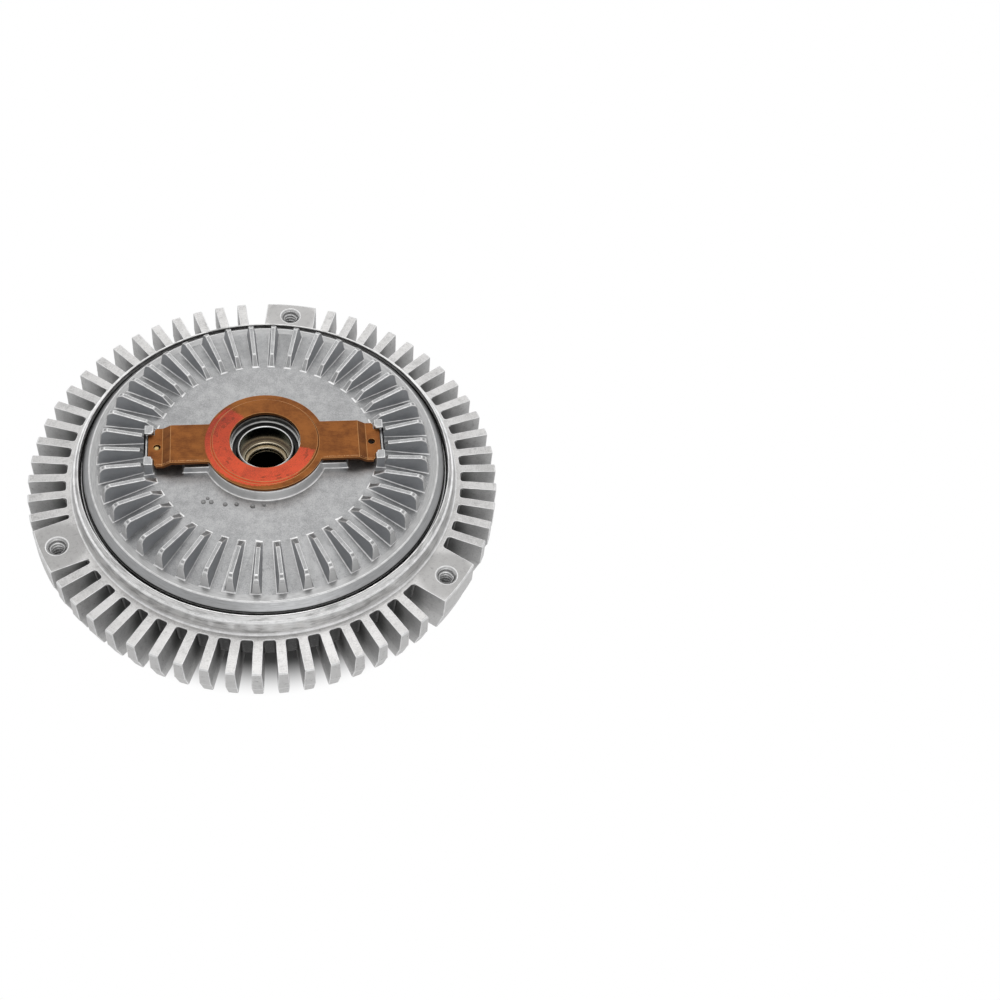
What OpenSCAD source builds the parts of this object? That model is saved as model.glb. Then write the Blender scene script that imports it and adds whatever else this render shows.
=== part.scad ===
// Viscous fan clutch for an engine cooling fan: a finned housing and cover turn on a
// bearing around a hollow driven shaft, and a bimetal strip opens the fluid valve.
// Front face up, rear end of the shaft at the origin, sizes in millimetres.

/* [Bearing] */
// Bore of the ball bearing
bearing_bore = 20; // [17:0.5:22]
// Outside diameter of the ball bearing
bearing_od = 52; // [48:0.5:56]
// Width of the ball bearing
bearing_w = 15; // [14:0.5:18]
// Diameter of a ball
ball_d = 9.525; // [8.5:0.025:9.7]
// Number of balls
ball_count = 7; // [6:1:8]
// Radial height of each bearing ring beside its seal
ring_land = 3.6; // [3.2:0.1:4]
// Thickness of a bearing seal
seal_t = 1.4; // [1:0.1:1.6]

/* [Shaft] */
// Length of the stub behind the bearing
stub_len = 5.2; // [4:0.1:12]
// Step from the bearing seat down to the stub
stub_step = 1; // [0.5:0.1:2]
// Diameter of the clear bore for the fixing bolt
bolt_bore_d = 13.2; // [10:0.1:14]
// Height of the shoulder in front of the bearing
shaft_shoulder = 3; // [2.5:0.1:3.4]
// Diameter of the counterbore for the bolt head
head_bore_d = 20.6; // [18:0.1:22]
// Depth of the counterbore
head_bore_depth = 8; // [6:0.1:11]
// Wall of the front tube
tube_wall = 0.9; // [0.8:0.05:2]
// Distance of the tube's front edge below the top of the strip
tube_recess = 3.7; // [3:0.1:7]

/* [Housing] */
// Wall of the collar around the bearing
collar_wall = 1.2; // [1:0.1:2]
// Radial overlap of the staked edge on the bearing
stake_cover = 3; // [2:0.1:3.4]
// Height of the staked edge behind the bearing
stake_h = 0.6; // [0.4:0.1:1]
// Width of the flat flange around the collar
hub_flange_w = 5; // [3:0.1:8]
// Distance of the flat flange in front of the bearing's rear face
hub_flange_set = 3; // [2:0.1:5]
// Thickness of the shoulder in front of the bearing
shoulder_t = 1.8; // [1.4:0.1:3]
// Thickness of the rear wall
wall_t = 4.4; // [3:0.1:5.5]
// Rise of the chamber floor outside the labyrinth
floor_step = 2; // [1:0.1:3]
// Height from the outer floor to the cover's seat
chamber_h = 9; // [8.5:0.1:12]
// Width of the cover's seat
seat_w = 5.6; // [4:0.1:7]
// Wall outside the cover's flange
rim_wall = 4.3; // [3.5:0.1:6]
// Width of the rolled lip's gap around the cover
lip_gap = 1.1; // [0.4:0.1:1.3]
// Width of the flat ring around the rolled lip's foot
lip_ledge = 2.5; // [1.5:0.1:3]

/* [Labyrinth] */
// Number of rings on the housing and on the rotor
ring_count = 5; // [3:1:6]
// Thickness of a ring
ring_t = 1.6; // [1.2:0.1:2]
// Running gap beside a ring
ring_gap = 0.7; // [0.5:0.05:1]
// Height of a ring
ring_h = 4.2; // [3:0.1:4.6]
// Inner radius of the first ring
ring_in_r = 36; // [34:0.5:38]

/* [Outer fins] */
// Fin positions in each sixth of the rim
fins_per_sixth = 10; // [8:1:11]
// Radial length of the outer fins beyond the rim
fin_len = 15; // [10:0.5:20]
// Thickness of a fin on its front face
fin_front_t = 3.8; // [3:0.1:4.5]
// Thickness of a fin's tip at the parting line
fin_part_t = 4.6; // [3.5:0.1:5]
// Thickness of a fin inside the rim
fin_root_t = 3.2; // [2.4:0.1:3.4]
// Thickness of a fin at its rear edge
fin_rear_t = 2.3; // [1.5:0.1:2.6]
// Distance of the fins' front faces below the rolled lip
fin_drop = 8.6; // [6:0.1:10]
// Distance of the fins' rear edges in front of the hub flange
fin_set = 0.6; // [0.2:0.1:2]
// Height of the upright part of a fin's outer end
fin_upright = 11.5; // [8:0.1:13]
// Inward slant of the rear part of a fin's outer end
fin_slant = 2.6; // [0.5:0.1:4]
// Radius where the short rear fins end
short_fin_r = 60; // [50:0.5:66]

/* [Lugs] */
// Width of a lug
lug_w = 21.5; // [18:0.5:23]
// Angle of the first lug from the strip
lug_angle = 82; // [0:1:119]
// Distance of a lug's hole inside the fin tips
lug_hole_in = 7; // [6:0.1:9]
// Tapping diameter of the lug holes
lug_hole_d = 5; // [4.2:0.1:6.8]
// Diameter of the countersink
lug_sink_d = 8.6; // [7.2:0.1:9]
// Diameter of the cast pad behind a lug
pad_d = 8.6; // [6:0.1:10]
// Radius of the cast pads from the axis
pad_r = 70; // [67:0.5:72]

/* [Cover] */
// Radius of the cover inside the rolled lip
cover_r = 73; // [70:0.5:80]
// Lap of the cover's flange under the lip
flange_lap = 2.6; // [2:0.1:3.5]
// Thickness of the cover's flange
flange_t = 2.4; // [2:0.1:4]
// Height of the cover's edge above its flange
edge_h = 3.2; // [2.5:0.1:4.5]
// Width of the flat border of the cover
border_w = 6; // [4:0.1:7]
// Radius of the cover's flat middle
disc_r = 44; // [40:0.5:46]
// Rise of the flat middle above the border
dome_h = 5.9; // [4.5:0.1:8]
// Radius of the centre boss
boss_r = 24; // [23.2:0.1:28]
// Height of the centre boss
boss_h = 4.1; // [3.5:0.1:6]
// Thickness of the cover's wall
cover_wall = 3.2; // [2.6:0.1:4]
// Number of fins on the cover
cover_fins = 42; // [36:2:48]
// Thickness of a cover fin at its foot
cover_fin_t = 4.2; // [3.4:0.1:4.8]
// Thickness of a cover fin at its top
cover_fin_top_t = 1.9; // [1.2:0.1:2.4]
// Height of the cover fins above the flat middle
cover_fin_h = 1.9; // [1:0.1:2.4]
// Length of the bar under each strip arm, from the axis
bar_len = 32; // [29:0.5:34]

/* [Bimetal strip] */
// Thickness of the strip
strip_t = 1.4; // [0.8:0.1:1.6]
// Outer radius of the strip's ring
strip_ring_r = 24; // [23.2:0.1:26]
// Height of the raised middle of the ring
strip_emboss = 0.9; // [0.5:0.1:1.2]
// Width of the strip's arms
strip_arm_w = 19; // [14:0.5:21]
// Length of an arm to its bend, from the axis
strip_arm_len = 37.2; // [34:0.1:38]
// Drop of the bend
strip_drop = 2; // [1:0.1:2.4]
// Length of a tab behind its bend
strip_tab_len = 5.6; // [5:0.1:8]
// Width of a tab's narrow end
strip_end_w = 12.6; // [9:0.1:13]
// Hole in each tab
strip_hole_d = 2.8; // [1.5:0.1:3.5]
// Gap between the strip and the boss
strip_gap = 0.5; // [0.3:0.1:1.5]
// Travel of the strip
strip_travel = 0.5; // [0.2:0.1:0.8]

/* [Valve] */
// Thickness of the separator plate
plate_t = 1.2; // [0.8:0.1:1.6]
// Distance of the control pin from the axis
pin_x = 19; // [18:0.1:19.5]
// Diameter of the control pin
pin_d = 3.2; // [2.4:0.1:3.6]
// Distance from the lever's rivet to the control pin
lever_arm = 25; // [20:0.5:28]
// Thickness of the valve lever
lever_t = 0.6; // [0.4:0.1:0.8]
// Width of the valve lever
lever_w = 7; // [6:0.5:9]
// Diameter of the valve port
port_d = 5; // [3:0.1:5.5]
// Number of screws that hold the plate
screw_count = 4; // [3:1:6]
// Diameter of those screws
screw_d = 2.5; // [2:0.1:3]
// Width of the pump wiper
wiper_w = 10; // [6:0.5:14]

/* [Hidden] */
$fn = 96;
// Radial clearance of a fixed fit
fit = 0.02;
// Radial clearance of a running fit
run_fit = 0.05;
// Gap between bodies that move
rest_gap = 0.3;
// Lap of one solid into the next of the same piece
lap = 0.5;

bearing_z = stub_len;
bearing_top = bearing_z + bearing_w;
bearing_mid = bearing_z + bearing_w / 2;
ball_r = ball_d / 2;
pitch_r = (bearing_bore + bearing_od) / 4;
inner_land_r = bearing_bore / 2 + ring_land;
outer_land_r = bearing_od / 2 - ring_land;
inner_race_r = pitch_r - 0.3 * ball_d;
outer_race_r = pitch_r + 0.3 * ball_d;
cage_h = ball_d + 1.4;

collar_r = bearing_od / 2 + fit + collar_wall;
hub_r = collar_r + hub_flange_w;
hub_z = bearing_z + hub_flange_set;
floor_z = bearing_top + shoulder_t;
outer_floor_z = floor_z + floor_step;
seat_z = outer_floor_z + chamber_h;
flange_top = seat_z + flange_t;
lip_z = flange_top + edge_h;
flange_r = cover_r + flange_lap;
chamber_r = flange_r - seat_w;
rim_r = flange_r + 0.1 + rim_wall;
lip_foot_r = rim_r - lip_ledge;
lip_r = cover_r + lip_gap;

ring_pitch = 2 * (ring_t + ring_gap);
step_r = ring_in_r + ring_count * ring_pitch + 1;
rotor_z = floor_z + ring_h + 0.8;
rotor_t = 3;
rotor_r = chamber_r - 1.2;
rotor_hub_r = bearing_bore / 2 + shaft_shoulder + 6;
rotor_top = rotor_z + rotor_t + 2;

fin_count = 6 * fins_per_sixth;
fin_pitch = 360 / fin_count;
tip_r = rim_r + fin_len;
fin_front = lip_z - fin_drop;
fin_rear = hub_z + fin_set;
fin_part = fin_front - fin_upright;
stock_z = fin_front + 1;
lug_rear = fin_rear - 0.8;
lug_hole_r = tip_r - lug_hole_in;
lug_third = 2 * fins_per_sixth;
// Turn of the fins that follow each lug, in degrees
fin_turn = [1.6, -1.5, 1];
outer_wall_z = outer_floor_z - wall_t;

disc_z = lip_z + dome_h;
boss_z = disc_z + boss_h;
border_r = cover_r - border_w;
fin_in_r = disc_r + 0.6;
fin_out_r = border_r - 1.8;
cover_fin_z = disc_z + cover_fin_h;
seal_bore_r = tube_r() + 2.7;
boss_in_z = disc_z - cover_wall - 1.9;
reservoir_r = 0.85 * border_r;

plate_top = seat_z + 3.6;
plate_z = plate_top - plate_t;
plate_r = reservoir_r + 4;
ledge_r = border_r - 1;
screw_r = reservoir_r + 2;
lever_z = plate_top + rest_gap;
lever_top = lever_z + lever_t;
rivet_y = -lever_arm;
port_y = lever_arm - 1;
pin_z = lever_top + rest_gap;

strip_z = boss_z + strip_gap;
strip_top = strip_z + strip_t;
emboss_r = pin_x + pin_d / 2 + 1;
tab_z = strip_z - strip_drop;
bend_run = 1.6 * strip_drop;
tab_x = strip_arm_len + bend_run;
tab_end = tab_x + strip_tab_len;
shoulder_x = tab_end - 2.4;
post_x = shoulder_x + rest_gap;
post_y = strip_end_w / 2 + rest_gap;
post_end = tab_end + 1.5;
hook_z = tab_z + strip_t + strip_travel + rest_gap;

shaft_top = strip_top - tube_recess;
seat_r = bearing_bore / 2 - fit;
rotor_seat_r = bearing_bore / 2 + shaft_shoulder;
clip_z = rotor_top + 0.1;
clip_t = 1;

function tube_r() = head_bore_d / 2 + tube_wall;

module ring(r_out, r_in, z, h) {
    translate([0, 0, z])
        difference() {
            cylinder(r = r_out, h = h);
            translate([0, 0, -1])
                cylinder(r = r_in, h = h + 2);
        }
}

// Section of the housing's body, turned about the axis.
module housing_section() {
    bore_r = bearing_od / 2 + fit;
    polygon([
        [bearing_od / 2 - stake_cover, bearing_z - run_fit],
        [bearing_od / 2 - stake_cover + 0.4, bearing_z - stake_h],
        [collar_r - 1, bearing_z - stake_h],
        [collar_r, bearing_z - stake_h + 1],
        [collar_r, hub_z],
        [hub_r, hub_z],
        [hub_r, floor_z - wall_t - 2],
        [hub_r + 2, floor_z - wall_t - 1],
        [step_r + 1, floor_z - wall_t],
        [step_r + 4, outer_wall_z],
        [rim_r - 1, outer_wall_z],
        [rim_r, outer_wall_z + 1],
        [rim_r, lip_z],
        [lip_r + 0.3, lip_z],
        [lip_r, lip_z - 0.3],
        [lip_r, flange_top + fit],
        [flange_r + 0.1, flange_top + fit],
        [flange_r + 0.1, seat_z],
        [chamber_r, seat_z],
        [chamber_r, outer_floor_z],
        [step_r, outer_floor_z],
        [step_r, floor_z],
        [bore_r - 2.5, floor_z],
        [bore_r - 2.5, bearing_top + run_fit],
        [bore_r, bearing_top + run_fit],
        [bore_r, bearing_z - run_fit]
    ]);
}

// Section of the metal turned off in front of the fins and outside the rolled lip.
module facing_section() {
    polygon([
        [tip_r + 1, fin_front - 1.4],
        [tip_r - 0.4, fin_front],
        [lip_foot_r + 0.5, fin_front],
        [lip_foot_r, fin_front + 0.5],
        [lip_foot_r - 0.7, lip_z - 2.4],
        [lip_foot_r - 1.1, lip_z - 1.9],
        [lip_foot_r - 1.7, lip_z - 2.2],
        [lip_r + 0.1, lip_z + 0.7],
        [tip_r + 1, lip_z + 0.7]
    ]);
}

// One rim fin from the radius in_r on the rear wall out to out_r, with its front at front_z.
module rim_fin(in_r, out_r, front_z) {
    depth = 2 * fin_part_t;
    intersection() {
        rotate([90, 0, 0])
            linear_extrude(height = depth, center = true)
                polygon([
                    [in_r, fin_rear + 0.8],
                    [in_r + 0.8, fin_rear],
                    [out_r - fin_slant - 2, fin_rear],
                    [out_r - fin_slant, fin_rear + 1.6],
                    [out_r - 0.3, fin_part],
                    [out_r, fin_part + 0.4],
                    [out_r, front_z],
                    [rim_r - 1, front_z],
                    [rim_r - 1, outer_wall_z + 0.6],
                    [step_r + 3, outer_wall_z + 0.6],
                    [step_r, floor_z - wall_t + 0.6],
                    [in_r, floor_z - wall_t + 0.2]
                ]);
        linear_extrude(height = stock_z + 1)
            polygon([
                [0, -fin_root_t / 2], [rim_r - fin_len / 2, -fin_root_t / 2],
                [tip_r + 1, -fin_part_t / 2], [tip_r + 1, fin_part_t / 2],
                [rim_r - fin_len / 2, fin_root_t / 2], [0, fin_root_t / 2]
            ]);
        rotate([90, 0, 90])
            linear_extrude(height = tip_r + 1)
                polygon([
                    [-fin_rear_t / 2, fin_rear - 0.1], [fin_rear_t / 2, fin_rear - 0.1],
                    [fin_part_t / 2 - 0.3, fin_rear + 2.2], [fin_part_t / 2, fin_part],
                    [fin_front_t / 2, stock_z], [-fin_front_t / 2, stock_z],
                    [-fin_part_t / 2, fin_part], [0.3 - fin_part_t / 2, fin_rear + 2.2]
                ]);
    }
}

// A fin that runs into the side of a lug, or out to the tips where no lug is next to it.
module long_fin(k) {
    if (k % lug_third == 1 || k % lug_third == lug_third - 1) {
        rim_fin(hub_r - 1.2, rim_r + 3.5, fin_front - 1);
    } else {
        rotate([0, 0, fin_turn[floor(k / lug_third)]])
            rim_fin(hub_r - 1.2, tip_r, stock_z);
    }
}

// One lug block with its cast pad, before drilling.
module lug() {
    intersection() {
        translate([rim_r - 1.5, -lug_w / 2, lug_rear])
            cube([fin_len + 3, lug_w, stock_z - lug_rear]);
        rotate_extrude()
            polygon([
                [0, lug_rear], [tip_r - fin_slant, lug_rear],
                [tip_r - 0.3, fin_part], [tip_r, fin_part + 0.4],
                [tip_r, stock_z], [0, stock_z]
            ]);
    }
    translate([pad_r, 0, outer_wall_z - 6])
        cylinder(d = pad_d, h = 6 + lap);
}

module lug_hole() {
    translate([lug_hole_r, 0, lug_rear - 1])
        cylinder(d = lug_hole_d, h = fin_front - lug_rear + 2);
    sink = (lug_sink_d - lug_hole_d) / 2;
    translate([lug_hole_r, 0, fin_front - sink])
        cylinder(d1 = lug_hole_d, d2 = lug_sink_d + 0.2, h = sink + 0.1);
    translate([lug_hole_r, 0, lug_rear - 0.1])
        cylinder(d1 = lug_sink_d - 1.8, d2 = lug_hole_d, h = 0.7);
}

module housing() {
    color("silver")
        difference() {
            union() {
                rotate_extrude()
                    housing_section();
                for (i = [0 : ring_count - 1])
                    ring(ring_in_r + i * ring_pitch + ring_t, ring_in_r + i * ring_pitch,
                        floor_z - lap, ring_h + lap);
                rotate([0, 0, lug_angle])
                    for (k = [0 : fin_count - 1])
                        rotate([0, 0, k * fin_pitch])
                            if (k % 2 == 1) {
                                long_fin(k);
                            } else if (k % lug_third == 0) {
                                lug();
                            } else {
                                rotate([0, 0, fin_turn[floor(k / lug_third)]])
                                    rim_fin(short_fin_r, tip_r, stock_z);
                            }
            }
            rotate_extrude()
                facing_section();
            rotate([0, 0, lug_angle])
                for (k = [0 : 2])
                    rotate([0, 0, k * 120])
                        lug_hole();
        }
}

// Section of the cover's body, turned about the axis.
module cover_section() {
    slope = dome_h / (border_r - disc_r);
    roof_z = disc_z - cover_wall;
    polygon([
        [seal_bore_r + fit, boss_in_z],
        [seal_bore_r + fit, boss_z],
        [boss_r - 0.5, boss_z],
        [boss_r, boss_z - 0.5],
        [boss_r + 1.1, disc_z],
        [disc_r, disc_z],
        [border_r, lip_z + 0.4],
        [cover_r - 3.2, lip_z + 0.4],
        [cover_r - 0.3, lip_z - 0.6],
        [cover_r, lip_z - 1],
        [cover_r, flange_top],
        [flange_r, flange_top],
        [flange_r, seat_z + fit],
        [ledge_r, seat_z + fit],
        [ledge_r, plate_top + fit],
        [reservoir_r, plate_top + fit],
        [reservoir_r, roof_z - slope * (reservoir_r - disc_r)],
        [disc_r, roof_z],
        [pin_x + 5, roof_z],
        [pin_x + 5, boss_in_z]
    ]);
}

module cover_fin() {
    intersection() {
        rotate([90, 0, 0])
            linear_extrude(height = cover_fin_t + 1, center = true)
                polygon([
                    [fin_in_r, disc_z - 1.5],
                    [fin_in_r, disc_z - 0.3],
                    [fin_in_r + 4.6, cover_fin_z],
                    [fin_out_r - 3, cover_fin_z],
                    [fin_out_r - 1.6, cover_fin_z - 0.7],
                    [fin_out_r - 0.8, cover_fin_z - 2],
                    [fin_out_r, lip_z + 0.8],
                    [fin_out_r, lip_z - 0.9]
                ]);
        rotate([90, 0, 90])
            linear_extrude(height = cover_r)
                polygon([
                    [-cover_fin_t / 2, lip_z - 1], [cover_fin_t / 2, lip_z - 1],
                    [cover_fin_top_t / 2, cover_fin_z + 0.1], [-cover_fin_top_t / 2, cover_fin_z + 0.1]
                ]);
    }
}

// Bracket behind a tab: a low wall between two posts whose hooks hold the tab's narrow end.
module end_bracket() {
    post_w = strip_arm_w / 2 + 0.5 - post_y;
    translate([tab_end + rest_gap, -post_y - lap, disc_z - 2])
        cube([post_end - tab_end - rest_gap, 2 * post_y + 2 * lap, tab_z + 0.6 - disc_z + 2]);
    for (side = [0, 1])
        mirror([0, side, 0]) {
            translate([post_x, post_y, disc_z - 2])
                cube([post_end - post_x, post_w, hook_z + 0.7 - disc_z + 2]);
            translate([post_x + 0.6, post_y - 1, hook_z])
                cube([post_end - post_x - 0.6, 1 + lap, 0.7]);
        }
}

module cover() {
    color("lightgray")
        difference() {
            union() {
                rotate_extrude()
                    cover_section();
                for (k = [0 : cover_fins - 1])
                    rotate([0, 0, k * 360 / cover_fins])
                        cover_fin();
                for (side = [0, 180])
                    rotate([0, 0, side])
                        end_bracket();
                difference() {
                    rotate([90, 0, 0])
                        linear_extrude(height = strip_arm_w + 1, center = true)
                            polygon([
                                [-bar_len - 0.7, disc_z - lap], [bar_len + 0.7, disc_z - lap],
                                [bar_len, boss_z - 1], [-bar_len, boss_z - 1]
                            ]);
                    cylinder(r = seal_bore_r + 2, h = boss_z + 1);
                }
            }
            translate([pin_x, 0, boss_in_z - 1])
                cylinder(r = pin_d / 2 + run_fit, h = boss_z);
            translate([pin_x, 0, boss_in_z + 1.4])
                cylinder(r = pin_d / 2 + 1.5, h = 1.6);
            ring(cover_r + 1.3, cover_r - 1.3, seat_z - 1, 2.7);
            for (k = [0 : screw_count - 1])
                rotate([0, 0, 45 + k * 360 / screw_count])
                    translate([screw_r, 0, plate_top - 1])
                        cylinder(d = screw_d + 2 * fit, h = 3.4);
        }
}

module cover_o_ring() {
    color("black")
        rotate_extrude()
            translate([cover_r, seat_z + 0.85])
                circle(r = 0.83);
}

module input_shaft() {
    bolt_r = bolt_bore_d / 2;
    head_r = head_bore_d / 2;
    head_z = shaft_top - head_bore_depth;
    stub_r = bearing_bore / 2 - stub_step;
    color("slategray")
        rotate_extrude()
            polygon([
                [bolt_r + 0.4, 0],
                [stub_r - 0.4, 0],
                [stub_r, 0.4],
                [stub_r, bearing_z - 0.4],
                [seat_r, bearing_z + 0.2],
                [seat_r, bearing_top],
                [rotor_seat_r, bearing_top],
                [rotor_seat_r, rotor_top],
                [tube_r(), rotor_top],
                [tube_r() - 0.6, rotor_top],
                [tube_r() - 0.6, clip_z + clip_t + 0.1],
                [tube_r(), clip_z + clip_t + 0.1],
                [tube_r(), shaft_top - 0.4],
                [tube_r() - 0.4, shaft_top],
                [head_r + 0.3, shaft_top],
                [head_r, shaft_top - 0.4],
                [head_r, head_z],
                [head_r - 1.5, head_z],
                [head_r - 2, head_z - 0.6],
                [head_r - 2, head_z - 2.2],
                [bolt_r + 1.1, head_z - 2.2],
                [bolt_r + 0.7, head_z - 2.7],
                [bolt_r + 0.7, head_z - 3.8],
                [bolt_r + 0.4, head_z - 4.1],
                [bolt_r + 0.4, head_z - 7],
                [bolt_r, head_z - 8],
                [bolt_r, 0.4]
            ]);
}

module rotor() {
    color("gainsboro")
        union() {
            ring(rotor_r, rotor_seat_r + fit, rotor_z, rotor_t);
            ring(rotor_hub_r, rotor_seat_r + fit, floor_z + 0.6, rotor_top - floor_z - 0.6);
            ring(rotor_r, step_r + 1.5, outer_floor_z + 0.8, rotor_z - outer_floor_z + 1);
            for (i = [0 : ring_count - 1])
                ring(ring_in_r + i * ring_pitch + 2 * ring_t + ring_gap,
                    ring_in_r + i * ring_pitch + ring_t + ring_gap,
                    rotor_z - ring_h, ring_h + lap);
        }
}

module rotor_circlip() {
    color("dimgray")
        rotate_extrude(angle = 310)
            translate([tube_r() - 0.6 + fit, clip_z])
                square([3.6, clip_t]);
}

module bearing_outer_ring() {
    color("lightsteelblue")
        difference() {
            rotate_extrude()
                polygon([
                    [outer_land_r, bearing_z],
                    [bearing_od / 2 - 0.6, bearing_z],
                    [bearing_od / 2, bearing_z + 0.6],
                    [bearing_od / 2, bearing_top - 0.6],
                    [bearing_od / 2 - 0.6, bearing_top],
                    [outer_land_r, bearing_top],
                    [outer_land_r, bearing_top - seal_t - fit],
                    [outer_race_r, bearing_top - seal_t - fit],
                    [outer_race_r, bearing_z + seal_t + fit],
                    [outer_land_r, bearing_z + seal_t + fit]
                ]);
            rotate_extrude()
                translate([pitch_r, bearing_mid])
                    circle(r = ball_r + run_fit);
        }
}

module bearing_inner_ring() {
    color("lightsteelblue")
        difference() {
            rotate_extrude()
                polygon([
                    [bearing_bore / 2 + 0.7, bearing_z],
                    [inner_land_r, bearing_z],
                    [inner_land_r, bearing_z + seal_t + rest_gap],
                    [inner_race_r, bearing_z + seal_t + rest_gap],
                    [inner_race_r, bearing_top - seal_t - rest_gap],
                    [inner_land_r, bearing_top - seal_t - rest_gap],
                    [inner_land_r, bearing_top],
                    [bearing_bore / 2 + 0.7, bearing_top],
                    [bearing_bore / 2, bearing_top - 0.7],
                    [bearing_bore / 2, bearing_z + 0.7]
                ]);
            rotate_extrude()
                translate([pitch_r, bearing_mid])
                    circle(r = ball_r + run_fit);
        }
}

module bearing_balls() {
    color("whitesmoke")
        for (k = [0 : ball_count - 1])
            rotate([0, 0, k * 360 / ball_count])
                translate([pitch_r, 0, bearing_mid])
                    sphere(r = ball_r);
}

module bearing_cage() {
    color("goldenrod")
        difference() {
            ring(pitch_r + 1.2, pitch_r - 1.2, bearing_mid - cage_h / 2, cage_h);
            for (k = [0 : ball_count - 1])
                rotate([0, 0, k * 360 / ball_count])
                    translate([pitch_r, 0, bearing_mid])
                        sphere(r = ball_r + run_fit);
        }
}

module bearing_seal(z) {
    color("mediumblue")
        ring(outer_land_r - fit, inner_land_r + run_fit, z, seal_t - 0.2);
}

module bearing_rear_seal() {
    bearing_seal(bearing_z + 0.2);
}

module bearing_front_seal() {
    bearing_seal(bearing_top - seal_t);
}

module separator_plate() {
    color("darkgray")
        difference() {
            ring(plate_r, seal_bore_r + 1.5, plate_z, plate_t);
            translate([pin_x, port_y, plate_z - 1])
                cylinder(d = port_d, h = plate_t + 2);
            translate([pin_x, rivet_y, plate_z - 1])
                cylinder(r = 1.5 + fit, h = plate_t + 2);
            for (k = [0 : screw_count - 1])
                rotate([0, 0, 45 + k * 360 / screw_count])
                    translate([screw_r, 0, plate_z - 1])
                        cylinder(d = screw_d + 2 * fit, h = plate_t + 2);
        }
}

module plate_screws() {
    color("gray")
        for (k = [0 : screw_count - 1])
            rotate([0, 0, 45 + k * 360 / screw_count])
                translate([screw_r, 0, 0])
                    union() {
                        translate([0, 0, plate_z - 1.4])
                            cylinder(d = 1.5 * screw_d, h = 1.4 - fit);
                        translate([0, 0, plate_z - lap])
                            cylinder(d = screw_d, h = plate_t + 2.2 + lap);
                    }
}

module valve_lever() {
    color("khaki")
        difference() {
            translate([pin_x - lever_w / 2, rivet_y - 4, lever_z])
                cube([lever_w, lever_arm + port_y + 8, lever_t]);
            translate([pin_x, rivet_y, lever_z - 1])
                cylinder(r = 1.5 + run_fit, h = lever_t + 2);
        }
}

module valve_rivet() {
    color("dimgray")
        translate([pin_x, rivet_y, 0])
            union() {
                translate([0, 0, plate_z - 0.8])
                    cylinder(r = 2.6, h = 0.8 - fit);
                translate([0, 0, plate_z - 0.4])
                    cylinder(r = 1.5, h = lever_top - plate_z + rest_gap + 0.6);
                translate([0, 0, lever_top + rest_gap])
                    cylinder(r = 2.6, h = 0.6);
            }
}

module pump_wiper() {
    gap_z = rotor_top - 1.2;
    color("tan")
        rotate([0, 0, 150])
            translate([reservoir_r - wiper_w / 2, -wiper_w / 2, gap_z])
                cube([0.6 * wiper_w, wiper_w, plate_z - fit - gap_z]);
}

module control_pin() {
    color("lightslategray")
        translate([pin_x, 0, pin_z])
            cylinder(d = pin_d, h = strip_z + strip_emboss - pin_z + run_fit);
}

module control_pin_o_ring() {
    color("black")
        translate([pin_x, 0, boss_in_z + 2.2])
            rotate_extrude()
                translate([pin_d / 2 + run_fit + 0.7, 0])
                    circle(r = 0.7);
}

module strip_side() {
    intersection() {
        rotate([90, 0, 0])
            linear_extrude(height = strip_arm_w + 2, center = true)
                polygon([
                    [emboss_r, strip_z], [strip_arm_len - 0.4, strip_z],
                    [tab_x - 0.4, tab_z], [tab_end, tab_z],
                    [tab_end, tab_z + strip_t], [tab_x, tab_z + strip_t],
                    [strip_arm_len, strip_top], [emboss_r, strip_top]
                ]);
        linear_extrude(height = strip_top + 1)
            polygon([
                [0, -strip_arm_w / 2], [shoulder_x - 0.8, -strip_arm_w / 2],
                [shoulder_x, -strip_arm_w / 2 + 0.8], [shoulder_x, -strip_end_w / 2],
                [tab_end, -strip_end_w / 2], [tab_end, strip_end_w / 2],
                [shoulder_x, strip_end_w / 2], [shoulder_x, strip_arm_w / 2 - 0.8],
                [shoulder_x - 0.8, strip_arm_w / 2], [0, strip_arm_w / 2]
            ]);
    }
}

module bimetal_strip() {
    hole_r = seal_bore_r + 0.1;
    color("peru")
        difference() {
            union() {
                rotate_extrude()
                    polygon([
                        [hole_r, strip_z + strip_emboss], [emboss_r - 0.9, strip_z + strip_emboss],
                        [emboss_r - 0.3, strip_z], [strip_ring_r, strip_z],
                        [strip_ring_r, strip_top], [emboss_r - 0.1, strip_top],
                        [emboss_r - 0.7, strip_top + strip_emboss], [hole_r, strip_top + strip_emboss]
                    ]);
                for (side = [0, 180])
                    rotate([0, 0, side])
                        strip_side();
            }
            for (side = [-1, 1])
                translate([side * (tab_x + strip_tab_len * 0.38), 0, tab_z - 1])
                    cylinder(d = strip_hole_d, h = strip_t + 2);
        }
}

module seal_case() {
    ledge_z = boss_z - 2.5;
    color("silver")
        rotate_extrude()
            polygon([
                [seal_bore_r - 0.7, boss_in_z],
                [seal_bore_r, boss_in_z],
                [seal_bore_r, boss_z + 0.6],
                [seal_bore_r - 0.3, boss_z + 0.6],
                [seal_bore_r - 0.3, ledge_z],
                [seal_bore_r - 0.7, ledge_z]
            ]);
}

module shaft_seal() {
    out_r = seal_bore_r - 0.7 - fit;
    in_r = tube_r() + run_fit;
    top = (boss_in_z + boss_z) / 2;
    color("black")
        rotate_extrude()
            polygon([
                [in_r + 0.6, boss_in_z + 0.4],
                [out_r, boss_in_z + 0.4],
                [out_r, top],
                [in_r + 0.5, top - 0.2],
                [in_r, top - 1.2],
                [in_r, top - 2],
                [in_r + 0.6, top - 2.6]
            ]);
}

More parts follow.
